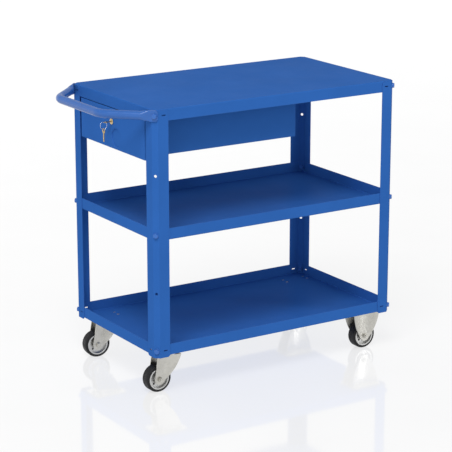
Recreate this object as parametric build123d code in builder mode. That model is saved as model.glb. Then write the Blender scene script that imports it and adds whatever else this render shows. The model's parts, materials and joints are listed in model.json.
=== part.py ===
"""Three-level workshop trolley with one lockable drawer, a push handle and four casters.

Millimetres, +Z up. The origin is on the floor, in the middle of the overall length and width.
The push handle and the drawer front are at the -X end, so a person pushing it looks along +X.
"""

from build123d import *
from math import acos, atan2, cos, hypot, radians, sin, sqrt, tan
import os

os.makedirs("parts", exist_ok=True)

# ---------------------------------------------------------------- driving dimensions
body_length = 850.0
body_width = 490.0
overall_height = 860.0
handle_reach = 120.0
level_pitch = 350.0
rim_height = 34.0
sheet = 1.5
bend_radius = 3.0
skin_gap = 0.06

post_flange = 47.0
post_sheet = 2.0
corner_leg = 13.0
post_top_drop = 2.5
post_foot_drop = 4.0
post_end_chamfer = 5.0
post_bend_radius = 2.5

bolt_radius = 4.0
bolt_hole_radius = 4.25
hex_radius = 7.5
hex_chamfer = 0.9
head_height = 5.5
nut_height = 6.5
nut_bore_radius = 4.05
washer_radius = 8.4
washer_thickness = 1.6
bolt_end = 2.5
slot_length = 14.0
slot_height = 4.0
slot_inset = 32.0
slot_cut_depth = 9.0

handle_radius = 12.5
handle_wall = 1.5
handle_bend_radius = 60.0
handle_plate = 4.0
handle_plate_height = 32.0
handle_plate_corner = 8.0
handle_plate_end = 9.2
handle_flat_length = 15.0
handle_taper = ((14.0, 4.0, 32.0, 1.9), (24.0, 13.0, 30.5, 6.0), (40.0, 25.2, 25.2, 12.5))
handle_tube_start = 39.0

front_width = 378.0
front_top_drop = 36.5
front_bottom_drop = 155.5
front_return = 14.0
front_lip = 20.0
front_edge_radius = 2.5
front_ear_half_width = 180.0
front_screw_y = 178.0
front_screw_inset = 20.0
housing_half_width = 165.0
housing_sheet = 1.2
housing_front_setback = 18.0
housing_length = 520.0
housing_bottom_drop = 152.5
housing_flange = 15.0
housing_lip = 10.0
stud_spacing = 230.0
stud_inset = 7.5
stud_radius = 2.5
stud_length = 11.0
stud_nut_radius = 4.6
stud_nut_height = 4.0
drawer_half_width = 151.0
drawer_length = 506.0
drawer_floor_drop = 149.0
drawer_top_drop = 55.0
slide_drop = 102.0
slide_sheet = 1.2
slide_profiles = {
    "outer": (20.0, 500.0, 162.6, 22.5, 153.8),
    "middle": (21.0, 494.0, 158.0, 20.5, 152.8),
    "inner": (17.0, 500.0, 151.0, 18.3, 157.0),
}

lock_drop = 75.0
lock_body_radius = 8.0
lock_hole_radius = 8.2
lock_face_radius = 9.0
lock_face_height = 2.5
lock_body_length = 22.0
lock_nut_radius = 12.0
lock_nut_height = 5.0
plug_radius = 5.5
plug_clearance = 0.08
plug_overhang = 1.0
lock_face_chamfer = 0.8
cam_reach = 40.0
cam_width = 14.0
cam_sheet = 2.0
cam_screw_radius = 2.0
cam_screw_head = 3.6
cam_screw_chamfer = 0.6
keeper_half_width = 20.0
keeper_bottom_drop = 47.0
keeper_sheet = 2.0
keeper_gap = 2.0
keeper_flange = 20.0
keeper_corner = 5.0
key_sheet = 1.6
key_bow_radius = 8.0
key_blade_width = 6.0
key_hole_radius = 3.5
key_hole_rim = 2.0
key_reach = 27.5
key_in_lock = 20.0
key_slot_play = 0.3
key_slot_depth = 21.0
spare_key_length = 40.0
key_notches = ((4.5, 1.0), (8.5, 1.8), (12.5, 0.8), (16.5, 1.5))
ring_radius = 11.0
ring_wire = 0.6
ring_drop = 9.2
ring_play = 1.0
hang_gap = 0.3

dish_radius = 28.0
dish_depth = 3.0
dish_y = -26.0
dish_drop = 120.0
dish_edge_radius = 1.0

wheel_radius = 41.0
tyre_width = 31.0
tyre_shoulder = 5.0
tyre_foot_width = 28.4
tyre_foot_overlap = 1.0
rim_seat_radius = 31.5
rim_seat_wall = 3.0
rim_edge_radius = 32.6
rim_edge_width = 32.0
rim_edge_sheet = 1.5
rim_edge_depth = 4.0
rim_disc_offset = 7.0
rim_disc_sheet = 2.0
rim_disc_inner = 11.5
rim_disc_outer = 30.0
rim_hole_circle = 20.5
rim_hole_radius = 3.2
rim_rivet_radius = 2.6
rim_rivet_height = 1.3
hub_half_length = 17.0
hub_radius = 12.0
sleeve_radius = 8.0
sleeve_clearance = 0.06
caster_y = 185.0
swivel_x = -358.0
swivel_trail = 32.0
rigid_x = 360.0
left_swivel_angle = -6.0
plate_length = 105.0
plate_width = 80.0
plate_sheet = 3.0
plate_corner = 8.0
plate_hole_x = 80.0
plate_hole_y = 24.0
insert_radius = 6.0
fork_sheet = 2.5
fork_half_width = 20.0
fork_end_radius = 17.0
fork_flare = 15.0
fork_fold = 1.5
fork_bulge = 7.0
swivel_crown_drop = 10.0
swivel_front = -37.0
swivel_crease = -14.0
swivel_rear = 34.0
rigid_half_strip = 15.0
rigid_half_top = 48.0
kingpin_radius = 6.0
kingpin_head_radius = 10.0
kingpin_head = 5.5
kingpin_clearance = 0.08
kingpin_chamfer = 1.0
race_radius = 32.0
race_inner_radius = 20.0
race_height = 6.0
race_gap = 1.0
race_chamfer = 0.8
cup_radius = 31.0
cup_chamfer = 0.5
axle_head = 5.3

# ---------------------------------------------------------------- worked-out dimensions
bolt_out = washer_thickness + head_height - hex_chamfer + hex_radius * sqrt(3) / 2
bolt_overhang = bolt_out / sqrt(2) - corner_leg / 2
body_x = (handle_reach - bolt_overhang) / 2
front_x = body_x - body_length / 2
half_width = body_width / 2
tray_half_length = body_length / 2 - post_sheet - skin_gap
tray_half_width = half_width - post_sheet - skin_gap
tray_corner = corner_leg - (post_sheet + skin_gap) * (2 - sqrt(2))
sheet_under = overall_height - sheet
middle_rim = overall_height - level_pitch
bottom_rim = middle_rim - level_pitch
tray_floor = bottom_rim - rim_height
post_bottom = tray_floor - post_foot_drop
post_height = overall_height - post_top_drop - post_bottom
bolt_levels = [overall_height - rim_height / 2 - step * level_pitch for step in range(3)]
spare_levels = [(bolt_levels[0] + bolt_levels[1]) / 2, (bolt_levels[1] + bolt_levels[2]) / 2]
slot_levels = [bolt_levels[0], bolt_levels[2]]
clamped = post_sheet + skin_gap + sheet
plate_bottom = tray_floor - plate_sheet
lock_z = overall_height - lock_drop
corners = {
    "handle_left": (-1, 1),
    "handle_right": (-1, -1),
    "end_left": (1, 1),
    "end_right": (1, -1),
}
sides = {"left": 1, "right": -1}


def finish(piece, name):
    """Label a finished piece and write it to its own file."""
    piece.part.label = name
    export_step(piece.part, f"parts/{name}.step")


def corner_point(sx, sy, along, across, z=0.0):
    """A point given by its distances in from the two outer faces of one corner of the body."""
    return Vector(body_x + sx * (body_length / 2 - along), sy * (half_width - across), z)


def facet_plane(sx, sy, z, out=0.0):
    """Plane on a post's 45 degree corner facet: local x points up and the normal points out."""
    normal = Vector(sx, sy, 0).normalized()
    origin = corner_point(sx, sy, corner_leg / 2, corner_leg / 2, z) + normal * out
    return Plane(origin=origin, x_dir=(0, 0, 1), z_dir=normal)


def disc(plane, radius, bore=0.0):
    """A round face on a plane, with a bore if one is given."""
    with BuildSketch(plane, mode=Mode.PRIVATE) as face:
        Circle(radius)
        if bore > 0:
            Circle(bore, mode=Mode.SUBTRACT)
    return face.sketch


def hexagon(plane, bore=0.0, radius=hex_radius):
    """A hexagonal face on a plane, with a bore if one is given."""
    with BuildSketch(plane, mode=Mode.PRIVATE) as face:
        RegularPolygon(radius, 6)
        if bore > 0:
            Circle(bore, mode=Mode.SUBTRACT)
    return face.sketch


def tray_outline(z, inset=0.0):
    """Rectangle with 45 degree corners that fits inside the four posts, pulled in by inset."""
    with BuildSketch(Plane((body_x, 0, z)), mode=Mode.PRIVATE) as outline:
        Rectangle(2 * (tray_half_length - inset), 2 * (tray_half_width - inset))
        chamfer(outline.vertices(), length=tray_corner - inset * (2 - sqrt(2)))
    return outline.sketch


def corner_holes(levels, sx, sy):
    """Bolt holes through one corner facet at the given heights."""
    return [disc(facet_plane(sx, sy, level), bolt_hole_radius).face() for level in levels]


def corner_slots(levels, sx, sy):
    """Small level slots in both flanges beside one corner at the given heights."""
    faces = []
    for level in levels:
        long_face = Plane(corner_point(sx, sy, slot_inset, 0, level), x_dir=(1, 0, 0), z_dir=(0, sy, 0))
        short_face = Plane(corner_point(sx, sy, 0, slot_inset, level), x_dir=(0, 1, 0), z_dir=(sx, 0, 0))
        for plane in (long_face, short_face):
            with BuildSketch(plane, mode=Mode.PRIVATE) as slot:
                SlotOverall(slot_length, slot_height)
            faces.append(slot.sketch.face())
    return faces


# ---------------------------------------------------------------- corner posts
inner_leg = corner_leg + post_sheet * (sqrt(2) - 1)
for corner_name, (sx, sy) in corners.items():
    with BuildPart() as post:
        with BuildSketch(Plane.XY.offset(post_bottom)) as section:
            with BuildLine():
                Polyline(
                    corner_point(sx, sy, 0, post_flange),
                    corner_point(sx, sy, 0, corner_leg),
                    corner_point(sx, sy, corner_leg, 0),
                    corner_point(sx, sy, post_flange, 0),
                    corner_point(sx, sy, post_flange, post_sheet),
                    corner_point(sx, sy, inner_leg, post_sheet),
                    corner_point(sx, sy, post_sheet, inner_leg),
                    corner_point(sx, sy, post_sheet, post_flange),
                    close=True,
                )
            make_face()
            bends = section.vertices().sort_by_distance(corner_point(sx, sy, 0, 0))[0:2]
            fillet(bends, radius=post_bend_radius)
        extrude(amount=post_height)
        chamfer(post.edges().filter_by(Axis.X).group_by(Axis.Y)[0 if sy > 0 else -1], post_end_chamfer)
        chamfer(post.edges().filter_by(Axis.Y).group_by(Axis.X)[0 if sx > 0 else -1], post_end_chamfer)
        openings = corner_holes(bolt_levels + spare_levels, sx, sy) + corner_slots(slot_levels, sx, sy)
        extrude(openings, amount=slot_cut_depth, both=True, mode=Mode.SUBTRACT)
    finish(post, f"post_{corner_name}")

# ---------------------------------------------------------------- shelves
with BuildPart() as top_shelf:
    extrude(tray_outline(overall_height - rim_height), amount=rim_height)
    fillet(top_shelf.edges().group_by(Axis.Z)[-1], radius=bend_radius)
    hollow = tray_outline(overall_height - rim_height, sheet)
    extrude(hollow, amount=rim_height - sheet, mode=Mode.SUBTRACT)
    fillet(top_shelf.edges().filter_by_position(Axis.Z, sheet_under, sheet_under), bend_radius - sheet)
    for sx, sy in corners.values():
        openings = corner_holes(bolt_levels[:1], sx, sy) + corner_slots(bolt_levels[:1], sx, sy)
        extrude(openings, amount=slot_cut_depth, both=True, mode=Mode.SUBTRACT)
finish(top_shelf, "top_shelf")

with BuildPart() as middle_tray:
    under = middle_rim - rim_height
    extrude(tray_outline(under), amount=rim_height)
    fillet(middle_tray.edges().group_by(Axis.Z)[0], radius=bend_radius)
    extrude(tray_outline(under + sheet, sheet), amount=rim_height, mode=Mode.SUBTRACT)
    fillet(middle_tray.edges().filter_by_position(Axis.Z, under + sheet, under + sheet), bend_radius - sheet)
    for sx, sy in corners.values():
        extrude(corner_holes(bolt_levels[1:2], sx, sy), slot_cut_depth, both=True, mode=Mode.SUBTRACT)
finish(middle_tray, "middle_tray")

caster_places = [
    (body_x + swivel_x, caster_y),
    (body_x + swivel_x, -caster_y),
    (body_x + rigid_x, caster_y),
    (body_x + rigid_x, -caster_y),
]
with BuildPart() as bottom_tray:
    floor = tray_floor + sheet
    extrude(tray_outline(tray_floor), amount=rim_height)
    fillet(bottom_tray.edges().group_by(Axis.Z)[0], radius=bend_radius)
    extrude(tray_outline(floor, sheet), amount=rim_height, mode=Mode.SUBTRACT)
    fillet(bottom_tray.edges().filter_by_position(Axis.Z, floor, floor), bend_radius - sheet)
    for sx, sy in corners.values():
        openings = corner_holes(bolt_levels[2:], sx, sy) + corner_slots(bolt_levels[2:], sx, sy)
        extrude(openings, amount=slot_cut_depth, both=True, mode=Mode.SUBTRACT)
    with BuildSketch(Plane.XY.offset(tray_floor)):
        with Locations(*caster_places):
            with GridLocations(plate_hole_x, plate_hole_y, 2, 2):
                Circle(insert_radius + skin_gap)
    extrude(amount=sheet, mode=Mode.SUBTRACT)
finish(bottom_tray, "bottom_tray")

# ---------------------------------------------------------------- corner fasteners
bolt_places = []
for level in bolt_levels:
    for sx, sy in corners.values():
        spacer = handle_plate if sx < 0 and level == bolt_levels[0] else 0.0
        bolt_places.append((sx, sy, level, spacer))

with BuildPart() as shelf_bolts:
    for sx, sy, level, spacer in bolt_places:
        seat = spacer + washer_thickness
        crown = seat + head_height - hex_chamfer
        shank = seat + clamped + nut_height + bolt_end
        extrude(hexagon(facet_plane(sx, sy, level, seat)), amount=head_height - hex_chamfer)
        extrude(hexagon(facet_plane(sx, sy, level, crown)), amount=hex_chamfer, taper=45)
        extrude(disc(facet_plane(sx, sy, level, seat), bolt_radius), amount=-shank)
finish(shelf_bolts, "shelf_bolts")

with BuildPart() as shelf_washers:
    for sx, sy, level, spacer in bolt_places:
        face = disc(facet_plane(sx, sy, level, spacer), washer_radius, bolt_hole_radius)
        extrude(face, amount=washer_thickness)
finish(shelf_washers, "shelf_washers")

with BuildPart() as shelf_nuts:
    for sx, sy, level, _ in bolt_places:
        extrude(hexagon(facet_plane(sx, sy, level, -clamped), nut_bore_radius), amount=-nut_height)
finish(shelf_nuts, "shelf_nuts")

# ---------------------------------------------------------------- push handle
grip_x = -(body_length + handle_reach) / 2 + handle_radius


def leg_frame(sy):
    """Start point, outward normal and running direction of one handle leg."""
    normal = Vector(-1, sy, 0).normalized()
    run = Vector(-1, -sy, 0).normalized()
    start = facet_plane(-1, sy, bolt_levels[0]).origin + normal * (handle_plate / 2)
    return start, normal, run


def leg_point(sy, distance):
    """A point on the centreline of one handle leg."""
    start, _, run = leg_frame(sy)
    return start + run * distance


def grip_corner(sy):
    """Where the centreline of one leg would meet the centreline of the grip."""
    start, _, run = leg_frame(sy)
    return start + run * ((grip_x - start.X) / run.X)


with BuildPart() as handle_tube:
    with BuildLine() as centreline:
        FilletPolyline(
            leg_point(1, handle_tube_start),
            grip_corner(1),
            grip_corner(-1),
            leg_point(-1, handle_tube_start),
            radius=handle_bend_radius,
        )
    with BuildSketch(Plane(origin=centreline.line @ 0, z_dir=centreline.line % 0)):
        Circle(handle_radius)
        Circle(handle_radius - handle_wall, mode=Mode.SUBTRACT)
    sweep()
    for sy in (1, -1):
        start, normal, run = leg_frame(sy)
        with BuildSketch(Plane(start - normal * (handle_plate / 2), x_dir=run, z_dir=normal)) as tab:
            with Locations(((handle_flat_length - handle_plate_end) / 2, 0)):
                Rectangle(handle_flat_length + handle_plate_end, handle_plate_height)
            fillet(tab.vertices().group_by(Axis.X)[0], radius=handle_plate_corner)
            Circle(bolt_hole_radius, mode=Mode.SUBTRACT)
        extrude(amount=handle_plate)
        sections = []
        for distance, thickness, height, corner in handle_taper:
            plane = Plane(origin=leg_point(sy, distance), x_dir=normal, z_dir=run)
            with BuildSketch(plane, mode=Mode.PRIVATE) as section:
                RectangleRounded(thickness, height, corner)
            sections.append(section.sketch)
        loft(sections)
finish(handle_tube, "handle_tube")

# ---------------------------------------------------------------- drawer housing
housing_front = front_x + housing_front_setback
housing_back = housing_front + housing_length
housing_bottom = overall_height - housing_bottom_drop
stud_places = []
for step in (-1, 0, 1):
    for sy in (1, -1):
        stud_x = (housing_front + housing_back) / 2 + step * stud_spacing
        stud_places.append((stud_x, sy * (housing_half_width + stud_inset)))

with BuildPart() as drawer_housing:
    for sy in (1, -1):
        outer = sy * housing_half_width
        inner = sy * (housing_half_width - housing_sheet)
        flange = sy * (housing_half_width + housing_flange)
        lip = sy * (housing_half_width - housing_lip)
        with BuildSketch(Plane.YZ.offset(housing_front)):
            with BuildLine():
                Polyline(
                    (flange, sheet_under),
                    (inner, sheet_under),
                    (inner, housing_bottom + housing_sheet),
                    (lip, housing_bottom + housing_sheet),
                    (lip, housing_bottom),
                    (outer, housing_bottom),
                    (outer, sheet_under - housing_sheet),
                    (flange, sheet_under - housing_sheet),
                    close=True,
                )
            make_face()
        extrude(amount=housing_length)
    with BuildSketch(Plane.YZ.offset(housing_back - housing_sheet)):
        with Locations((0, (sheet_under + housing_bottom) / 2)):
            Rectangle(2 * housing_half_width, sheet_under - housing_bottom)
    extrude(amount=housing_sheet)
    with BuildSketch(Plane.XY.offset(sheet_under)):
        with Locations(*stud_places):
            Circle(stud_radius + skin_gap)
    extrude(amount=-housing_sheet, mode=Mode.SUBTRACT)
finish(drawer_housing, "drawer_housing")

with BuildPart() as housing_studs:
    with BuildSketch(Plane.XY.offset(sheet_under)):
        with Locations(*stud_places):
            Circle(stud_radius)
    extrude(amount=-stud_length)
finish(housing_studs, "housing_studs")

with BuildPart() as housing_nuts:
    with BuildSketch(Plane.XY.offset(sheet_under - housing_sheet)):
        with Locations(*stud_places):
            RegularPolygon(stud_nut_radius, 6)
            Circle(stud_radius + skin_gap, mode=Mode.SUBTRACT)
    extrude(amount=-stud_nut_height)
finish(housing_nuts, "housing_nuts")

# ---------------------------------------------------------------- telescopic slides
slide_z = overall_height - slide_drop
for side, sy in sides.items():
    for member, (setback, length, web, half_height, flange_end) in slide_profiles.items():
        near_y = min(web, flange_end)
        far_y = max(web + slide_sheet, flange_end)
        with BuildPart() as rail:
            with BuildSketch(Plane.YZ.offset(front_x + setback)):
                with Locations((sy * (web + slide_sheet / 2), slide_z)):
                    Rectangle(slide_sheet, 2 * half_height)
                for flange_z in (half_height - slide_sheet / 2, slide_sheet / 2 - half_height):
                    with Locations((sy * (near_y + far_y) / 2, slide_z + flange_z)):
                        Rectangle(far_y - near_y, slide_sheet)
            extrude(amount=length)
        finish(rail, f"slide_{member}_{side}")

# ---------------------------------------------------------------- drawer
front_top = overall_height - front_top_drop
front_bottom = overall_height - front_bottom_drop
front_mid = (front_top + front_bottom) / 2
front_height = front_top - front_bottom
dish_plane = Plane((front_x, dish_y, overall_height - dish_drop), x_dir=(0, 1, 0), z_dir=(1, 0, 0))
lock_plane = Plane((front_x, 0, lock_z), x_dir=(0, 1, 0), z_dir=(1, 0, 0))
box_front = front_x + front_return
box_mid_x = box_front + drawer_length / 2
box_floor = overall_height - drawer_floor_drop
box_height = drawer_floor_drop - drawer_top_drop
screw_levels = (box_floor + front_screw_inset, box_floor + box_height - front_screw_inset)
screw_places = [(sy * front_screw_y, z) for sy in (1, -1) for z in screw_levels]

with BuildPart() as drawer_front:
    with BuildSketch(Plane.YZ.offset(front_x)):
        with Locations((0, front_mid)):
            Rectangle(front_width, front_height)
    extrude(amount=front_return)
    fillet(drawer_front.edges().group_by(Axis.X)[0], radius=front_edge_radius)
    with BuildSketch(Plane.YZ.offset(front_x + sheet)):
        with Locations((0, front_mid)):
            Rectangle(front_width - 2 * sheet, front_height - 2 * sheet)
    extrude(amount=front_return, mode=Mode.SUBTRACT)
    with BuildSketch(Plane.YZ.offset(box_front - sheet)):
        for sy in (1, -1):
            with Locations((sy * (front_width - front_lip) / 2, front_mid)):
                Rectangle(front_lip, front_height)
        with Locations(*screw_places):
            Circle(stud_radius + skin_gap, mode=Mode.SUBTRACT)
    extrude(amount=sheet)
    extrude(disc(dish_plane, dish_radius + sheet), amount=dish_depth + sheet)
    extrude(disc(dish_plane, dish_radius), amount=dish_depth, mode=Mode.SUBTRACT)
    rings = drawer_front.edges().filter_by(GeomType.CIRCLE)
    fillet(rings.filter_by(lambda edge: abs(edge.radius - dish_radius) < skin_gap), radius=dish_edge_radius)
    extrude(disc(lock_plane, lock_hole_radius), amount=sheet, mode=Mode.SUBTRACT)
finish(drawer_front, "drawer_front")

with BuildPart() as drawer_box:
    with BuildSketch(Plane.XY.offset(box_floor)):
        with Locations((box_mid_x, 0)):
            Rectangle(drawer_length, 2 * drawer_half_width)
    extrude(amount=box_height)
    with BuildSketch(Plane.XY.offset(box_floor + housing_sheet)):
        with Locations((box_mid_x, 0)):
            Rectangle(drawer_length - 2 * housing_sheet, 2 * (drawer_half_width - housing_sheet))
    extrude(amount=box_height, mode=Mode.SUBTRACT)
    with BuildSketch(Plane.YZ.offset(box_front)):
        with Locations((0, box_floor + box_height / 2)):
            Rectangle(2 * front_ear_half_width, box_height)
        with Locations(*screw_places):
            Circle(stud_radius + skin_gap, mode=Mode.SUBTRACT)
    extrude(amount=housing_sheet)
    extrude(disc(lock_plane, lock_hole_radius), amount=2 * front_return, mode=Mode.SUBTRACT)
finish(drawer_box, "drawer_box")

with BuildPart() as front_screws:
    with BuildSketch(Plane.YZ.offset(box_front - 2 * sheet)):
        with Locations(*screw_places):
            Circle(stud_radius)
    extrude(amount=2 * sheet + housing_sheet)
    with BuildSketch(Plane.YZ.offset(box_front + housing_sheet)):
        with Locations(*screw_places):
            Circle(stud_nut_radius)
    extrude(amount=sheet, taper=20)
finish(front_screws, "front_screws")

# ---------------------------------------------------------------- lock
face_plane = lock_plane.offset(-lock_face_height)
barrel_length = lock_face_height + lock_body_length
plug_length = barrel_length + plug_overhang
cam_plane = face_plane.offset(plug_length)
cam_x = cam_plane.origin.X

with BuildPart() as lock_barrel:
    extrude(disc(face_plane, lock_face_radius), amount=lock_face_height)
    chamfer(lock_barrel.edges().group_by(Axis.X)[0], length=lock_face_chamfer)
    extrude(disc(face_plane, lock_body_radius), amount=barrel_length)
    plug_bore = disc(face_plane, plug_radius + plug_clearance)
    extrude(plug_bore, amount=barrel_length, mode=Mode.SUBTRACT)
finish(lock_barrel, "lock_barrel")

with BuildPart() as lock_nut:
    nut_face = hexagon(lock_plane.offset(sheet), lock_body_radius + skin_gap, lock_nut_radius)
    extrude(nut_face, amount=lock_nut_height)
finish(lock_nut, "lock_nut")

with BuildPart() as lock_plug:
    extrude(disc(face_plane, plug_radius), amount=plug_length)
    with BuildSketch(face_plane):
        Rectangle(key_blade_width + key_slot_play, key_sheet + key_slot_play)
    extrude(amount=key_slot_depth, mode=Mode.SUBTRACT)
    extrude(disc(cam_plane, cam_screw_radius + skin_gap), amount=-cam_sheet, mode=Mode.SUBTRACT)
finish(lock_plug, "lock_plug")

with BuildPart() as lock_cam:
    cam_run = cam_reach - cam_width / 2
    with BuildSketch(cam_plane):
        with Locations((cam_run / 2, 0)):
            SlotCenterToCenter(cam_run, cam_width)
        Circle(cam_screw_radius + skin_gap, mode=Mode.SUBTRACT)
    extrude(amount=cam_sheet)
finish(lock_cam, "lock_cam")

with BuildPart() as cam_screw:
    extrude(disc(cam_plane.offset(-cam_sheet), cam_screw_radius), amount=2 * cam_sheet)
    extrude(disc(cam_plane.offset(cam_sheet), cam_screw_head), amount=cam_sheet)
    chamfer(cam_screw.edges().group_by(Axis.X)[-1], length=cam_screw_chamfer)
finish(cam_screw, "cam_screw")

keeper_front = cam_x - keeper_gap - keeper_sheet
keeper_height = keeper_bottom_drop - sheet
with BuildPart() as lock_keeper:
    with BuildSketch(Plane.YZ.offset(keeper_front)):
        with Locations((0, sheet_under - keeper_height / 2)):
            Rectangle(2 * keeper_half_width, keeper_height)
    extrude(amount=keeper_sheet)
    fillet(lock_keeper.edges().filter_by(Axis.X).group_by(Axis.Z)[0], radius=keeper_corner)
    with BuildSketch(Plane.XY.offset(sheet_under)):
        with Locations((keeper_front + keeper_flange / 2, 0)):
            Rectangle(keeper_flange, 2 * keeper_half_width)
    extrude(amount=-keeper_sheet)
finish(lock_keeper, "lock_keeper")

# ---------------------------------------------------------------- keys
bow_offset = key_bow_radius - key_hole_rim - key_hole_radius
hole_x = front_x - key_reach + key_hole_rim + key_hole_radius
ring_x = hole_x + ring_play - sqrt(ring_radius**2 - ring_drop**2)
ring_z = lock_z - ring_drop
spare_hole_z = ring_z - ring_radius + ring_wire + hang_gap - key_hole_radius


def key_face(plane, reach):
    """A flat key: its bow hole is at the plane's origin and its blade runs reach along local x."""
    with BuildSketch(plane, mode=Mode.PRIVATE) as face:
        with Locations((bow_offset, 0)):
            Circle(key_bow_radius)
        with Locations(((bow_offset + reach) / 2, 0)):
            Rectangle(reach - bow_offset, key_blade_width)
        for inset, depth in key_notches:
            with Locations((reach - inset, key_blade_width / 2)):
                Rectangle(sqrt(2) * depth, sqrt(2) * depth, rotation=45, mode=Mode.SUBTRACT)
        Circle(key_hole_radius, mode=Mode.SUBTRACT)
    return face.sketch


with BuildPart() as key:
    plane = Plane((hole_x, 0, lock_z - key_sheet / 2))
    extrude(key_face(plane, front_x - lock_face_height + key_in_lock - hole_x), amount=key_sheet)
finish(key, "key")

with BuildPart() as key_ring:
    with BuildSketch(Plane((ring_x, 0, ring_z))):
        with Locations((ring_radius, 0)):
            Circle(ring_wire)
    revolve(axis=Axis((ring_x, 0, ring_z), (0, 1, 0)))
finish(key_ring, "key_ring")

with BuildPart() as spare_key:
    plane = Plane((ring_x + key_sheet / 2, 0, spare_hole_z), x_dir=(0, 0, -1), z_dir=(-1, 0, 0))
    extrude(key_face(plane, spare_key_length - key_bow_radius + bow_offset), amount=key_sheet)
finish(spare_key, "spare_key")

# ---------------------------------------------------------------- casters
casters = {
    "swivel_left": (*caster_places[0], left_swivel_angle, -swivel_trail, 1),
    "swivel_right": (*caster_places[1], 0.0, -swivel_trail, -1),
    "rigid_left": (*caster_places[2], 0.0, 0.0, 1),
    "rigid_right": (*caster_places[3], 0.0, 0.0, -1),
}
swivel_crown = plate_bottom - swivel_crown_drop


def caster_base(name):
    """Floor plane under a caster: local x is the line the wheel rolls along."""
    x, y, angle, _, _ = casters[name]
    return Plane(origin=(x, y, 0), x_dir=(cos(radians(angle)), sin(radians(angle)), 0))


def axle_plane(name, offset=0.0):
    """Plane square to a wheel's axle, at the wheel centre, with the normal on the outer side."""
    base = caster_base(name)
    trail, outward = casters[name][3:]
    centre = base.origin + base.x_dir * trail + base.y_dir * (outward * offset) + Vector(0, 0, wheel_radius)
    return Plane(origin=centre, x_dir=base.x_dir, z_dir=base.y_dir * outward)


def mount_plate(name, bore):
    """Face of a caster's mounting plate with its four screw holes and a centre bore."""
    x, y, _, _, _ = casters[name]
    with BuildSketch(Plane((x, y, plate_bottom)), mode=Mode.PRIVATE) as face:
        RectangleRounded(plate_length, plate_width, plate_corner)
        with GridLocations(plate_hole_x, plate_hole_y, 2, 2):
            Circle(bolt_hole_radius, mode=Mode.SUBTRACT)
        if bore > 0:
            Circle(bore, mode=Mode.SUBTRACT)
    return face.sketch


def tangent_point(px, pz, cx, cz, side):
    """Where a line from (px, pz) touches the round axle end on the given side."""
    reach = hypot(px - cx, pz - cz)
    angle = atan2(pz - cz, px - cx) + side * acos(fork_end_radius / reach)
    return cx + fork_end_radius * cos(angle), cz + fork_end_radius * sin(angle)


def leg_strip(base, side, top_z, front, rear, axle_x, keep):
    """The flat middle of one fork leg, on its outer face, down to the round axle end."""
    touch_rear = tangent_point(rear, top_z, axle_x, wheel_radius, -1)
    touch_front = tangent_point(front, top_z, axle_x, wheel_radius, 1)
    outer_face = Plane(
        origin=base.origin + base.y_dir * (side * fork_half_width),
        x_dir=base.x_dir,
        z_dir=base.y_dir * -1,
    )
    with BuildSketch(outer_face, mode=Mode.PRIVATE) as face:
        with BuildLine():
            Polyline(
                (front, top_z),
                (rear, top_z),
                touch_rear,
                (axle_x, wheel_radius),
                touch_front,
                close=True,
            )
        make_face()
        with Locations((axle_x, wheel_radius)):
            Circle(fork_end_radius)
        with Locations(((keep[0] + keep[1]) / 2, top_z)):
            Rectangle(keep[1] - keep[0], 2 * top_z, mode=Mode.INTERSECT)
        with Locations((axle_x, wheel_radius)):
            Circle(bolt_radius + sleeve_clearance, mode=Mode.SUBTRACT)
    return face.sketch


def leg_wing(base, side, top_z, crease, tip, axle_x):
    """The wing of one fork leg, which flares outward from an upright crease to a bulging edge."""
    way = 1 if tip > crease else -1
    touch_x, touch_z = tangent_point(tip, top_z, axle_x, wheel_radius, -way)
    low_z = top_z + (crease - tip) * (top_z - touch_z) / (tip - touch_x)
    lean = radians(fork_flare)
    run = base.x_dir * (way * cos(lean)) + base.y_dir * (side * sin(lean))
    crease_foot = base.origin + base.x_dir * crease + base.y_dir * (side * fork_half_width)
    outer_face = Plane(crease_foot, x_dir=run, z_dir=run.cross(Vector(0, 0, 1)))
    reach = abs(tip - crease) / cos(lean)
    chord = hypot(reach, top_z - low_z)
    bulge_x = reach / 2 + fork_bulge * (top_z - low_z) / chord
    bulge_z = (top_z + low_z) / 2 - fork_bulge * reach / chord
    with BuildSketch(outer_face, mode=Mode.PRIVATE) as face:
        with BuildLine():
            Polyline((0, low_z), (0, top_z), (reach, top_z))
            ThreePointArc((reach, top_z), (bulge_x, bulge_z), (0, low_z))
        make_face()
    return face.sketch


def inserts(name, radius, bore=0.0):
    """Round faces at the four screw holes of one caster, at tray floor level."""
    x, y, _, _, _ = casters[name]
    with BuildSketch(Plane((x, y, tray_floor)), mode=Mode.PRIVATE) as faces:
        with GridLocations(plate_hole_x, plate_hole_y, 2, 2):
            Circle(radius)
            if bore > 0:
                Circle(bore, mode=Mode.SUBTRACT)
    return faces.sketch


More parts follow.
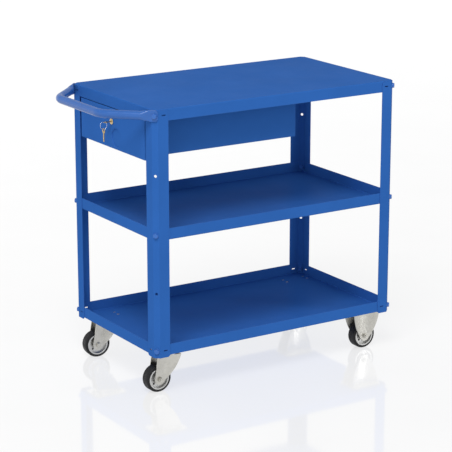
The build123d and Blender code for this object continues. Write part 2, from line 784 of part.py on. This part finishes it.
for side, sy in sides.items():
    name = f"swivel_{side}"
    base = caster_base(name)
    top_disc = Plane((base.origin.X, base.origin.Y, plate_bottom))
    crown_disc = Plane((base.origin.X, base.origin.Y, swivel_crown))
    wing_half_width = fork_half_width + (swivel_rear - swivel_crease) * tan(radians(fork_flare))
    cup_height = swivel_crown_drop - race_height - race_gap

    with BuildPart() as swivel_plate:
        extrude(mount_plate(name, kingpin_radius + skin_gap), amount=plate_sheet)
        extrude(disc(top_disc, cup_radius, race_inner_radius), amount=-cup_height)
        chamfer(swivel_plate.edges().filter_by(GeomType.CIRCLE).group_by(Axis.Z)[0], length=cup_chamfer)
    finish(swivel_plate, f"swivel_plate_{side}")

    with BuildPart() as kingpin:
        under_crown = swivel_crown - fork_sheet - hang_gap
        extrude(disc(top_disc.offset(under_crown - plate_bottom), kingpin_radius),
                amount=tray_floor - skin_gap - under_crown)
        extrude(disc(top_disc.offset(under_crown - plate_bottom), kingpin_head_radius), amount=-kingpin_head)
        chamfer(kingpin.edges().filter_by(GeomType.CIRCLE).group_by(Axis.Z)[0], length=kingpin_chamfer)
    finish(kingpin, f"kingpin_{side}")

    with BuildPart() as swivel_fork:
        with BuildSketch(Plane((base.origin.X, base.origin.Y, swivel_crown - fork_sheet), x_dir=base.x_dir)):
            with BuildLine():
                Polyline(
                    (swivel_front, -fork_half_width),
                    (swivel_crease, -fork_half_width),
                    (swivel_rear, -wing_half_width),
                    (swivel_rear, wing_half_width),
                    (swivel_crease, fork_half_width),
                    (swivel_front, fork_half_width),
                    close=True,
                )
            make_face()
        extrude(amount=fork_sheet)
        extrude(disc(crown_disc, race_radius), amount=race_height)
        extrude(disc(crown_disc, race_inner_radius), amount=race_height, mode=Mode.SUBTRACT)
        chamfer(swivel_fork.edges().filter_by(GeomType.CIRCLE).group_by(Axis.Z)[-1], length=race_chamfer)
        extrude(disc(crown_disc, kingpin_radius + kingpin_clearance), amount=-fork_sheet, mode=Mode.SUBTRACT)
        for leg in (1, -1):
            keep = (swivel_front - fork_end_radius, swivel_crease + fork_fold)
            strip = leg_strip(base, leg, swivel_crown, swivel_front, swivel_rear, -swivel_trail, keep)
            wing = leg_wing(base, leg, swivel_crown, swivel_crease, swivel_rear, -swivel_trail)
            extrude(strip, amount=leg * fork_sheet)
            extrude(wing, amount=leg * fork_sheet)
    finish(swivel_fork, f"swivel_fork_{side}")

    name = f"rigid_{side}"
    base = caster_base(name)
    with BuildPart() as rigid_bracket:
        extrude(mount_plate(name, 0), amount=plate_sheet)
        for leg in (1, -1):
            keep = (-rigid_half_strip - fork_fold, rigid_half_strip + fork_fold)
            strip = leg_strip(base, leg, plate_bottom, -rigid_half_top, rigid_half_top, 0, keep)
            extrude(strip, amount=leg * fork_sheet)
            for way in (1, -1):
                wing = leg_wing(base, leg, plate_bottom, way * rigid_half_strip, way * rigid_half_top, 0)
                extrude(wing, amount=leg * way * fork_sheet)
    finish(rigid_bracket, f"rigid_bracket_{side}")

with BuildPart() as caster_screws:
    for name in casters:
        x, y, _, _, _ = casters[name]
        extrude(inserts(name, bolt_radius), amount=sheet)
        extrude(inserts(name, bolt_radius), amount=-plate_sheet)
        with BuildSketch(Plane((x, y, plate_bottom))):
            with GridLocations(plate_hole_x, plate_hole_y, 2, 2):
                RegularPolygon(hex_radius, 6)
        extrude(amount=-head_height)
finish(caster_screws, "caster_screws")

with BuildPart() as rivet_nuts:
    for name in casters:
        extrude(inserts(name, insert_radius, nut_bore_radius), amount=sheet)
finish(rivet_nuts, "rivet_nuts")

# ---------------------------------------------------------------- axles and wheels
axle_length = 2 * fork_half_width + nut_height + bolt_end


def add_axle(name):
    """The axle bolt of one caster: head on the inner side, thread end on the outer side."""
    head_face = axle_plane(name, -fork_half_width)
    extrude(disc(head_face, bolt_radius), amount=axle_length)
    extrude(hexagon(head_face), amount=-axle_head)


def add_axle_nut(name):
    """The nut on the outer side of one caster."""
    extrude(hexagon(axle_plane(name, fork_half_width), nut_bore_radius), amount=nut_height)


for side in sides:
    with BuildPart() as swivel_axle:
        add_axle(f"swivel_{side}")
    finish(swivel_axle, f"swivel_axle_{side}")
    with BuildPart() as swivel_axle_nut:
        add_axle_nut(f"swivel_{side}")
    finish(swivel_axle_nut, f"swivel_axle_nut_{side}")

with BuildPart() as rigid_axles:
    add_axle("rigid_left")
    add_axle("rigid_right")
finish(rigid_axles, "rigid_axles")

with BuildPart() as rigid_axle_nuts:
    add_axle_nut("rigid_left")
    add_axle_nut("rigid_right")
finish(rigid_axle_nuts, "rigid_axle_nuts")

for name in casters:
    hub = axle_plane(name)
    spin = Axis(hub.origin, hub.z_dir)
    across = Plane(hub.origin, x_dir=hub.z_dir, z_dir=hub.z_dir.cross(Vector(0, 0, 1)))
    foot = rim_seat_radius + skin_gap
    tread_inner = rim_edge_radius + hang_gap

    with BuildPart() as tyre:
        with BuildSketch(across) as section:
            with Locations((0, (tread_inner + wheel_radius) / 2)):
                Rectangle(tyre_width, wheel_radius - tread_inner)
            fillet(section.vertices().group_by(Axis.Y)[-1], radius=tyre_shoulder)
            with Locations((0, (foot + tread_inner + tyre_foot_overlap) / 2)):
                Rectangle(tyre_foot_width, tread_inner + tyre_foot_overlap - foot)
        revolve(axis=spin)
    finish(tyre, f"tyre_{name}")

    with BuildPart() as rim:
        with BuildSketch(across):
            with Locations((0, rim_seat_radius - rim_seat_wall / 2)):
                Rectangle(rim_edge_width, rim_seat_wall)
            with Locations((0, (sleeve_radius + skin_gap + hub_radius) / 2)):
                Rectangle(2 * hub_half_length, hub_radius - sleeve_radius - skin_gap)
            for way in (1, -1):
                edge_middle = rim_edge_radius - rim_edge_depth / 2
                with Locations((way * (rim_edge_width - rim_edge_sheet) / 2, edge_middle)):
                    Rectangle(rim_edge_sheet, rim_edge_depth)
                with Locations((way * rim_disc_offset, (rim_disc_inner + rim_disc_outer) / 2)):
                    Rectangle(rim_disc_sheet, rim_disc_outer - rim_disc_inner)
        revolve(axis=spin)
        rivet_face = rim_disc_offset + rim_disc_sheet / 2 + rim_rivet_height
        with BuildSketch(hub):
            with PolarLocations(rim_hole_circle, 4, start_angle=0):
                Circle(rim_rivet_radius)
        extrude(amount=rivet_face, both=True)
        with BuildSketch(hub):
            with PolarLocations(rim_hole_circle, 4, start_angle=45):
                Circle(rim_hole_radius)
        extrude(amount=rivet_face, both=True, mode=Mode.SUBTRACT)
    finish(rim, f"rim_{name}")

    with BuildPart() as wheel_bearing:
        sleeve_face = disc(axle_plane(name, -hub_half_length), sleeve_radius, bolt_radius + sleeve_clearance)
        extrude(sleeve_face, amount=2 * hub_half_length)
    finish(wheel_bearing, f"wheel_bearing_{name}")
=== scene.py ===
import json
import math

import bmesh
import bpy
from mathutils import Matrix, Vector


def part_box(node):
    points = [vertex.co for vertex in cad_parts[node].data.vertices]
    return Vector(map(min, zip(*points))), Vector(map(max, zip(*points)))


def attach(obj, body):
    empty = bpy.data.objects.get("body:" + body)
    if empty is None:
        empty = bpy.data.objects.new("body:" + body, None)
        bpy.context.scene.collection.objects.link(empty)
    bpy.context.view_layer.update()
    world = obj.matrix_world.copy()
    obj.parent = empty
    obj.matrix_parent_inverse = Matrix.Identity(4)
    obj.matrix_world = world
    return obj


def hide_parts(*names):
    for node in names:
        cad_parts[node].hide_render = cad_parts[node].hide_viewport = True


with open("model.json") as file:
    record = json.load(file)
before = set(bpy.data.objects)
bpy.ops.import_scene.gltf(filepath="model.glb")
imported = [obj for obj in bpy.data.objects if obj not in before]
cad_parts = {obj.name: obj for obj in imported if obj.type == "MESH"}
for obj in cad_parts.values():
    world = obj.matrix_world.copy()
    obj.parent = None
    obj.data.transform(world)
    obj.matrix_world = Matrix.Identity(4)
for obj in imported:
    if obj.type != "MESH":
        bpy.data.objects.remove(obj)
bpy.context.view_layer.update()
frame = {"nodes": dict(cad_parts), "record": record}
nodes = frame["nodes"]
record = frame["record"]
scene = bpy.context.scene
mm = 0.001


# ---------------------------------------------------------------- node helpers
class Graph:
    """A material with a Principled shader and short ways to add nodes to it."""

    def __init__(self, name, **sockets):
        self.material = bpy.data.materials.new(name)
        self.material.use_nodes = True
        self.tree = self.material.node_tree
        self.tree.nodes.clear()
        out = self.tree.nodes.new("ShaderNodeOutputMaterial")
        self.shader = self.tree.nodes.new("ShaderNodeBsdfPrincipled")
        self.link(self.shader.outputs["BSDF"], out.inputs["Surface"])
        self.coords = self.tree.nodes.new("ShaderNodeTexCoord").outputs["Object"]
        for key, value in sockets.items():
            self.shader.inputs[key.replace("_", " ")].default_value = value

    def link(self, a, b):
        self.tree.links.new(a, b)

    def stretched(self, scale):
        """Object coordinates scaled by a different factor on each axis."""
        node = self.tree.nodes.new("ShaderNodeMapping")
        node.inputs["Scale"].default_value = scale
        self.link(self.coords, node.inputs["Vector"])
        return node.outputs["Vector"]

    def noise(self, scale, detail=3.0, rough=0.5, vector=None):
        """Fractal noise between 0 and 1."""
        node = self.tree.nodes.new("ShaderNodeTexNoise")
        node.inputs["Scale"].default_value = scale
        node.inputs["Detail"].default_value = detail
        node.inputs["Roughness"].default_value = rough
        self.link(vector or self.coords, node.inputs["Vector"])
        return node.outputs["Fac"]

    def cells(self, scale):
        """Patches that each have one random value between 0 and 1."""
        node = self.tree.nodes.new("ShaderNodeTexVoronoi")
        node.inputs["Scale"].default_value = scale
        self.link(self.coords, node.inputs["Vector"])
        split = self.tree.nodes.new("ShaderNodeSeparateColor")
        self.link(node.outputs["Color"], split.inputs["Color"])
        return split.outputs["Red"]

    def remap(self, value, span, to):
        """Stretches the span of a value to a new range and clamps it there."""
        node = self.tree.nodes.new("ShaderNodeMapRange")
        node.inputs["From Min"].default_value = span[0]
        node.inputs["From Max"].default_value = span[1]
        node.inputs["To Min"].default_value = to[0]
        node.inputs["To Max"].default_value = to[1]
        self.link(value, node.inputs["Value"])
        return node.outputs["Result"]

    def math(self, kind, a, b):
        """One Math node; a and b are sockets or numbers."""
        node = self.tree.nodes.new("ShaderNodeMath")
        node.operation = kind
        for slot, value in zip(node.inputs, (a, b)):
            if isinstance(value, (int, float)):
                slot.default_value = value
            else:
                self.link(value, slot)
        return node.outputs["Value"]

    def add(self, a, share_a, b, share_b):
        """Two values added, each multiplied by its own share."""
        return self.math("ADD", self.math("MULTIPLY", a, share_a), self.math("MULTIPLY", b, share_b))

    def mix(self, factor, a, b):
        """A colour between a and b, which are colours or sockets."""
        node = self.tree.nodes.new("ShaderNodeMix")
        node.data_type = "RGBA"
        color_a, color_b = [slot for slot in node.inputs if slot.type == "RGBA"]
        self.link(factor, node.inputs["Factor"])
        for slot, value in ((color_a, a), (color_b, b)):
            if isinstance(value, tuple):
                slot.default_value = (*value, 1.0)
            else:
                self.link(value, slot)
        return next(slot for slot in node.outputs if slot.type == "RGBA")

    def edges(self, radius):
        """1 near sharp edges and 0 elsewhere, from how far a rounded normal leans away."""
        bevel = self.tree.nodes.new("ShaderNodeBevel")
        bevel.samples = 4
        bevel.inputs["Radius"].default_value = radius
        geometry = self.tree.nodes.new("ShaderNodeNewGeometry")
        dot = self.tree.nodes.new("ShaderNodeVectorMath")
        dot.operation = "DOT_PRODUCT"
        self.link(bevel.outputs["Normal"], dot.inputs[0])
        self.link(geometry.outputs["Normal"], dot.inputs[1])
        return self.remap(dot.outputs["Value"], span=(0.995, 0.90), to=(0.0, 1.0))

    def edge_wear_and_highlight(self, radius, patches, span, to):
        """An edge mask that comes and goes with the patches of a noise: edge wear on zinc, a painted edge
        highlight on the paint and the rubber.
        """
        return self.math("MULTIPLY", self.edges(radius), self.remap(patches, span, to))

    def bump(self, height, strength, distance, normal=None):
        node = self.tree.nodes.new("ShaderNodeBump")
        node.inputs["Strength"].default_value = strength
        node.inputs["Distance"].default_value = distance
        self.link(height, node.inputs["Height"])
        if normal is not None:
            self.link(normal, node.inputs["Normal"])
        return node.outputs["Normal"]

    def set(self, key, value):
        self.link(value, self.shader.inputs[key])


def shade(color, factor, lift=0.0):
    """A colour made lighter or darker, then lifted evenly towards white."""
    return tuple(min(1.0, c * factor) + lift for c in color)


# ---------------------------------------------------------------- materials
def powder_coat(name, color, rough=(0.34, 0.44), gloss=0.003):
    """Satin powder coat: orange peel, slow colour drift, light specks and paler edges that are a painted
    highlight.
    """
    g = Graph(name, IOR=1.5, Specular_IOR_Level=gloss)
    drift = g.remap(g.noise(scale=5.0, detail=4.0, rough=0.6), span=(0.3, 0.7), to=(0.0, 1.0))
    base = g.mix(drift, shade(color, 0.95), shade(color, 1.05))
    specks = g.remap(g.noise(scale=900.0, detail=2.0), span=(0.62, 0.72), to=(0.0, 0.25))
    base = g.mix(specks, base, shade(color, 1.25))
    patches = g.noise(scale=60.0, detail=4.0)
    # The paler edge colour is a painted highlight along the edges, coming and going in patches.
    edge_wear_and_highlight = g.edge_wear_and_highlight(radius=0.0012, patches=patches, span=(0.35, 0.65), to=(0.15, 0.6))
    g.set("Base Color", g.mix(edge_wear_and_highlight, base, shade(color, 0.972, lift=0.06)))
    smears = g.noise(scale=9.0, detail=5.0, rough=0.65)
    g.set("Roughness", g.remap(smears, span=(0.3, 0.7), to=rough))
    grain = g.bump(g.noise(scale=420.0, detail=2.0), strength=0.22, distance=0.00018)
    peel = g.noise(scale=28.0, detail=2.0)
    g.set("Normal", g.bump(peel, strength=0.10, distance=0.0006, normal=grain))
    return g.material


def zinc(name, color, rough, streak, spangle):
    """Zinc plate on steel: crystal patches, drawn streaks and brighter edges.

    The streaks run along the axis whose factor in streak is small.
    """
    g = Graph(name, Metallic=1.0)
    clouds = g.noise(scale=30.0, detail=4.0, rough=0.6)
    tone = g.add(g.cells(scale=140.0), spangle, clouds, 0.8)
    base = g.mix(g.remap(tone, span=(0.2, 0.75), to=(0.0, 1.0)), shade(color, 0.82), shade(color, 1.1))
    patches = g.noise(scale=150.0, detail=3.0)
    edge_wear_and_highlight = g.edge_wear_and_highlight(radius=0.0008, patches=patches, span=(0.4, 0.6), to=(0.1, 0.6))
    g.set("Base Color", g.mix(edge_wear_and_highlight, base, shade(color, 1.3)))
    lines = g.noise(scale=240.0, detail=3.0, rough=0.6, vector=g.stretched(streak))
    g.set("Roughness", g.remap(g.add(lines, 0.6, clouds, 0.4), span=(0.35, 0.65), to=rough))
    g.set("Normal", g.bump(lines, strength=0.12, distance=0.00015))
    return g.material


def rubber(name, color):
    """Moulded rubber: fine grain, dusty patches and lighter edges, a painted highlight that comes and goes
    in patches.
    """
    g = Graph(name, IOR=1.45, Specular_IOR_Level=0.3)
    dust = g.remap(g.noise(scale=55.0, detail=5.0, rough=0.65), span=(0.40, 0.75), to=(0.0, 0.5))
    base = g.mix(dust, color, shade(color, 1.5, lift=0.006))
    patches = g.noise(scale=120.0, detail=3.0)
    # The lighter edge colour is a painted highlight on the tyre's shoulders, not wear.
    painted_edge_highlight = g.edge_wear_and_highlight(radius=0.0015, patches=patches, span=(0.3, 0.7), to=(0.1, 0.7))
    g.set("Base Color", g.mix(painted_edge_highlight, base, shade(color, 2.0, lift=0.05)))
    bloom = g.noise(scale=90.0, detail=4.0)
    g.set("Roughness", g.remap(bloom, span=(0.3, 0.7), to=(0.38, 0.62)))
    g.set("Normal", g.bump(g.noise(scale=1500.0, detail=2.0), strength=0.35, distance=0.00012))
    return g.material


def brass(name, color, rough):
    """Cut brass: fine tool lines along Y and Z, tarnish in patches and bright edges."""
    g = Graph(name, Metallic=1.0)
    tarnish = g.remap(g.noise(scale=260.0, detail=4.0, rough=0.6), span=(0.45, 0.75), to=(0.0, 0.8))
    base = g.mix(tarnish, color, shade(color, 0.55))
    g.set("Base Color", g.mix(g.edges(radius=0.0004), base, shade(color, 1.35)))
    lines = g.noise(scale=700.0, detail=2.0, vector=g.stretched((1.0, 0.15, 0.15)))
    g.set("Roughness", g.remap(lines, span=(0.3, 0.7), to=rough))
    g.set("Normal", g.bump(lines, strength=0.15, distance=0.0001))
    return g.material


blue = (0.0265, 0.114, 0.39)
even = (1.0, 1.0, 1.0)
along_x = (0.1, 1.0, 1.0)
along_y = (1.0, 0.1, 1.0)
along_z = (1.0, 1.0, 0.15)
satin = (0.24, 0.38)
materials = {
    "blue_paint": powder_coat("powder_coat_blue", blue),
    # inner_paint is the same blue coat made darker: painted shade on the inner parts.
    "inner_paint": powder_coat("powder_coat_blue_shaded_inner", shade(blue, 0.92), rough=(0.36, 0.48)),
    "painted_fastener": powder_coat("fastener_coat_blue", shade(blue, 1.08), rough=(0.20, 0.30), gloss=0.35),
    "zinc_steel": zinc("bright_zinc", (0.60, 0.61, 0.62), satin, along_x, spangle=0.10),
    "caster_zinc": zinc("satin_zinc", (0.55, 0.54, 0.50), satin, along_z, spangle=0.14),
    "rim_metal": zinc("rim_zinc", (0.56, 0.56, 0.55), (0.26, 0.42), even, spangle=0.12),
    "bearing": zinc("turned_steel", (0.42, 0.42, 0.42), (0.2, 0.35), along_y, spangle=0.04),
    "ring_wire": zinc("bright_wire", (0.72, 0.72, 0.73), (0.12, 0.22), even, spangle=0.02),
    "lock_metal": brass("lock_brass", (0.66, 0.50, 0.26), (0.16, 0.34)),
    "brass": brass("key_brass", (0.46, 0.35, 0.17), (0.2, 0.4)),
    "tyre_rubber": rubber("black_rubber", (0.007, 0.007, 0.008)),
}
handle_coat = powder_coat("powder_coat_handle", blue, rough=(0.20, 0.28), gloss=0.35)


# ---------------------------------------------------------------- edges of the parts kept from the frame
edge_width = {
    "blue_paint": 0.45 * mm,
    "inner_paint": 0.35 * mm,
    "painted_fastener": 0.3 * mm,
    "zinc_steel": 0.2 * mm,
    "caster_zinc": 0.45 * mm,
    "rim_metal": 0.3 * mm,
    "bearing": 0.2 * mm,
    "lock_metal": 0.2 * mm,
    "brass": 0.2 * mm,
}
weld_reach = 0.004 * mm
flat_within = math.radians(0.4)
sharp_from = math.radians(38.0)


def round_edges(piece, width):
    """Joins the split corners, merges flat triangles and rounds every sharp edge a little."""
    for polygon in piece.data.polygons:
        polygon.use_smooth = True
    weld = piece.modifiers.new("weld", "WELD")
    weld.merge_threshold = weld_reach
    flat = piece.modifiers.new("flat", "DECIMATE")
    flat.decimate_type = "DISSOLVE"
    flat.angle_limit = flat_within
    bevel = piece.modifiers.new("edge", "BEVEL")
    bevel.width = width
    bevel.segments = 2
    bevel.limit_method = "ANGLE"
    bevel.angle_limit = sharp_from
    bevel.harden_normals = True
    bevel.use_clamp_overlap = True
    normals = piece.modifiers.new("normals", "WEIGHTED_NORMAL")
    normals.mode = "FACE_AREA"
    normals.weight = 50


slot_of_node = {part["node"]: part["material_slot"] for part in record["subparts"]}
for name, piece in nodes.items():
    slot_name = slot_of_node[name]
    piece.data.materials.clear()
    piece.data.materials.append(handle_coat if name == "handle_tube" else materials[slot_name])
    if slot_name in edge_width:
        round_edges(piece, edge_width[slot_name])


# ---------------------------------------------------------------- tyres
tyre_half_width = 15.5 * mm
bead_half_width = 14.2 * mm
bead_radius = 31.57 * mm
sidewall_radius = 32.9 * mm
sidewall_outline_mm = ((0.2, 0.0), (0.0, 0.3), (0.0, 1.1), (0.35, 1.3), (0.35, 1.8), (0.0, 2.0))
shoulder_radius = 5.0 * mm
shoulder_steps = 8
rib_step = 4
rib_height = 0.3 * mm
rib_flank = 0.06
groove_places = (7.0 * mm, 3.0 * mm)
groove_outline_mm = ((0.7, 0.0), (0.4, 0.6), (-0.4, 0.6), (-0.7, 0.0))
tyre_facets = 96
crease_angle = math.radians(32)


def lathe(name, section, centre, axis, steps):
    """A ring made by turning a closed (across, radius) section about an axis through centre."""
    axis = Vector(axis).normalized()
    up = Vector((0, 0, 1))
    side = axis.cross(up)
    bm = bmesh.new()
    rings = []
    for step in range(steps):
        angle = 2 * math.pi * step / steps
        out = up * math.cos(angle) + side * math.sin(angle)
        rings.append([bm.verts.new(Vector(centre) + axis * a + out * r) for a, r in section])
    count = len(section)
    for step in range(steps):
        here = rings[step]
        there = rings[(step + 1) % steps]
        for k in range(count):
            j = (k + 1) % count
            bm.faces.new((here[k], here[j], there[j], there[k]))
    bmesh.ops.recalc_face_normals(bm, faces=bm.faces)
    mesh = bpy.data.meshes.new(name)
    bm.to_mesh(mesh)
    bm.free()
    mesh.shade_smooth()
    mesh.set_sharp_from_angle(angle=crease_angle)
    piece = bpy.data.objects.new(name, mesh)
    scene.collection.objects.link(piece)
    return piece


def tyre_section(outer):
    """Tyre section: a bead, a sidewall with a ring in it, a ribbed shoulder and a grooved tread."""
    side = [(bead_half_width, bead_radius), (bead_half_width, sidewall_radius)]
    for sink, rise in sidewall_outline_mm:
        side.append((tyre_half_width - sink * mm, sidewall_radius + rise * mm))

    def shoulder(angle, lift=0.0):
        reach = shoulder_radius + lift
        across = tyre_half_width - shoulder_radius + reach * math.cos(angle)
        return (across, outer - shoulder_radius + reach * math.sin(angle))

    for step in range(shoulder_steps + 1):
        angle = math.radians(90 * step / shoulder_steps)
        side.append(shoulder(angle, rib_height if step == rib_step else 0.0))
        if step in (rib_step - 1, rib_step):
            side.append(shoulder(angle + rib_flank))
    for groove in groove_places:
        for across, depth in groove_outline_mm:
            side.append((groove + across * mm, outer - depth * mm))
    return side + [(-across, radius) for across, radius in reversed(side)]


joints = {joint["name"]: joint for joint in record["behaviour"]["joints"]}
for corner in ("swivel_left", "swivel_right", "rigid_left", "rigid_right"):
    joint = joints["wheel_spin_" + corner]
    low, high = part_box("tyre_" + corner)
    centre = Vector(joint["pos_m"])
    section = tyre_section(outer=centre.z - low[2])
    tyre = lathe("tyre_skin_" + corner, section, centre, joint["axis"], tyre_facets)
    tyre.data.materials.append(materials["tyre_rubber"])
    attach(tyre, "wheel_" + corner)
    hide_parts("tyre_" + corner)


# ---------------------------------------------------------------- floor
white = (1.0, 1.0, 1.0, 1.0)
floor_reach = 60.0


def polished_floor(name):
    """Pale polished floor that glows a little, so that it stays as light as the sky."""
    g = Graph(name, IOR=1.5, Specular_IOR_Level=1.0, Emission_Strength=0.70, Emission_Color=white)
    tone = g.remap(g.noise(scale=2.0, detail=4.0), span=(0.3, 0.7), to=(0.0, 1.0))
    g.set("Base Color", g.mix(tone, (0.19, 0.19, 0.19), (0.21, 0.21, 0.21)))
    wipes = g.noise(scale=6.0, detail=3.0)
    g.set("Roughness", g.remap(wipes, span=(0.3, 0.7), to=(0.05, 0.08)))
    return g.material


floor_mesh = bpy.data.meshes.new("floor")
floor_corners = [(sx * floor_reach, sy * floor_reach, 0) for sx, sy in ((-1, -1), (1, -1), (1, 1), (-1, 1))]
floor_mesh.from_pydata(floor_corners, [], [(0, 1, 2, 3)])
floor = bpy.data.objects.new("floor", floor_mesh)
scene.collection.objects.link(floor)
floor.data.materials.append(polished_floor("pale_floor"))


# ---------------------------------------------------------------- sky and lights
def sky_ramp(tree, value, span, to):
    """A smooth run between two strengths over a span of a sky coordinate."""
    ramp = tree.nodes.new("ShaderNodeMapRange")
    ramp.interpolation_type = "SMOOTHSTEP"
    ramp.inputs["From Min"].default_value = span[0]
    ramp.inputs["From Max"].default_value = span[1]
    ramp.inputs["To Min"].default_value = to[0]
    ramp.inputs["To Max"].default_value = to[1]
    tree.links.new(value, ramp.inputs["Value"])
    return ramp.outputs["Result"]


def studio_sky(name):
    """White surround, brightest at the horizon and on the side of low X."""
    world = bpy.data.worlds.new(name)
    world.use_nodes = True
    tree = world.node_tree
    direction = tree.nodes.new("ShaderNodeTexCoord").outputs["Generated"]
    parts = tree.nodes.new("ShaderNodeSeparateXYZ")
    tree.links.new(direction, parts.inputs["Vector"])
    by_height = sky_ramp(tree, parts.outputs["Z"], span=(0.05, 0.75), to=(0.98, 0.52))
    by_side = sky_ramp(tree, parts.outputs["X"], span=(-0.6, 0.9), to=(1.1, 0.55))
    strength = tree.nodes.new("ShaderNodeMath")
    strength.operation = "MULTIPLY"
    tree.links.new(by_height, strength.inputs[0])
    tree.links.new(by_side, strength.inputs[1])
    background = tree.nodes["Background"]
    background.inputs["Color"].default_value = white
    tree.links.new(strength.outputs["Value"], background.inputs["Strength"])
    return world


def soft_light(name, place, target, size, power):
    """A large rectangular soft light aimed at a point."""
    data = bpy.data.lights.new(name, "AREA")
    data.shape = "RECTANGLE"
    data.size, data.size_y = size
    data.energy = power
    light = bpy.data.objects.new(name, data)
    light.location = place
    light.rotation_mode = "QUATERNION"
    light.rotation_quaternion = (Vector(target) - Vector(place)).to_track_quat("-Z", "Y")
    scene.collection.objects.link(light)


scene.world = studio_sky("studio")
soft_light("key", place=(-2.2, -2.4, 4.9), target=(0, 0, 0.45), size=(2.2, 2.2), power=180.0)
soft_light("rim", place=(2.6, -2.4, 1.6), target=(0, 0, 0.3), size=(0.5, 1.6), power=14.0)

# ---------------------------------------------------------------- camera
camera_place = (-2.9667, -4.7040, 1.9388)
camera_down = math.radians(15.333)
camera_turn = math.radians(-32.498)

camera_data = bpy.data.cameras.new("camera")
camera_data.sensor_width = 36.0
camera_data.lens = 149.28
camera_data.clip_start = 0.1
camera_data.clip_end = 150.0
camera = bpy.data.objects.new("camera", camera_data)
camera.location = camera_place
camera.rotation_euler = (math.radians(90) - camera_down, 0.0, camera_turn)
scene.collection.objects.link(camera)
scene.camera = camera
scene.view_settings.view_transform = "Standard"
scene.view_settings.look = "None"
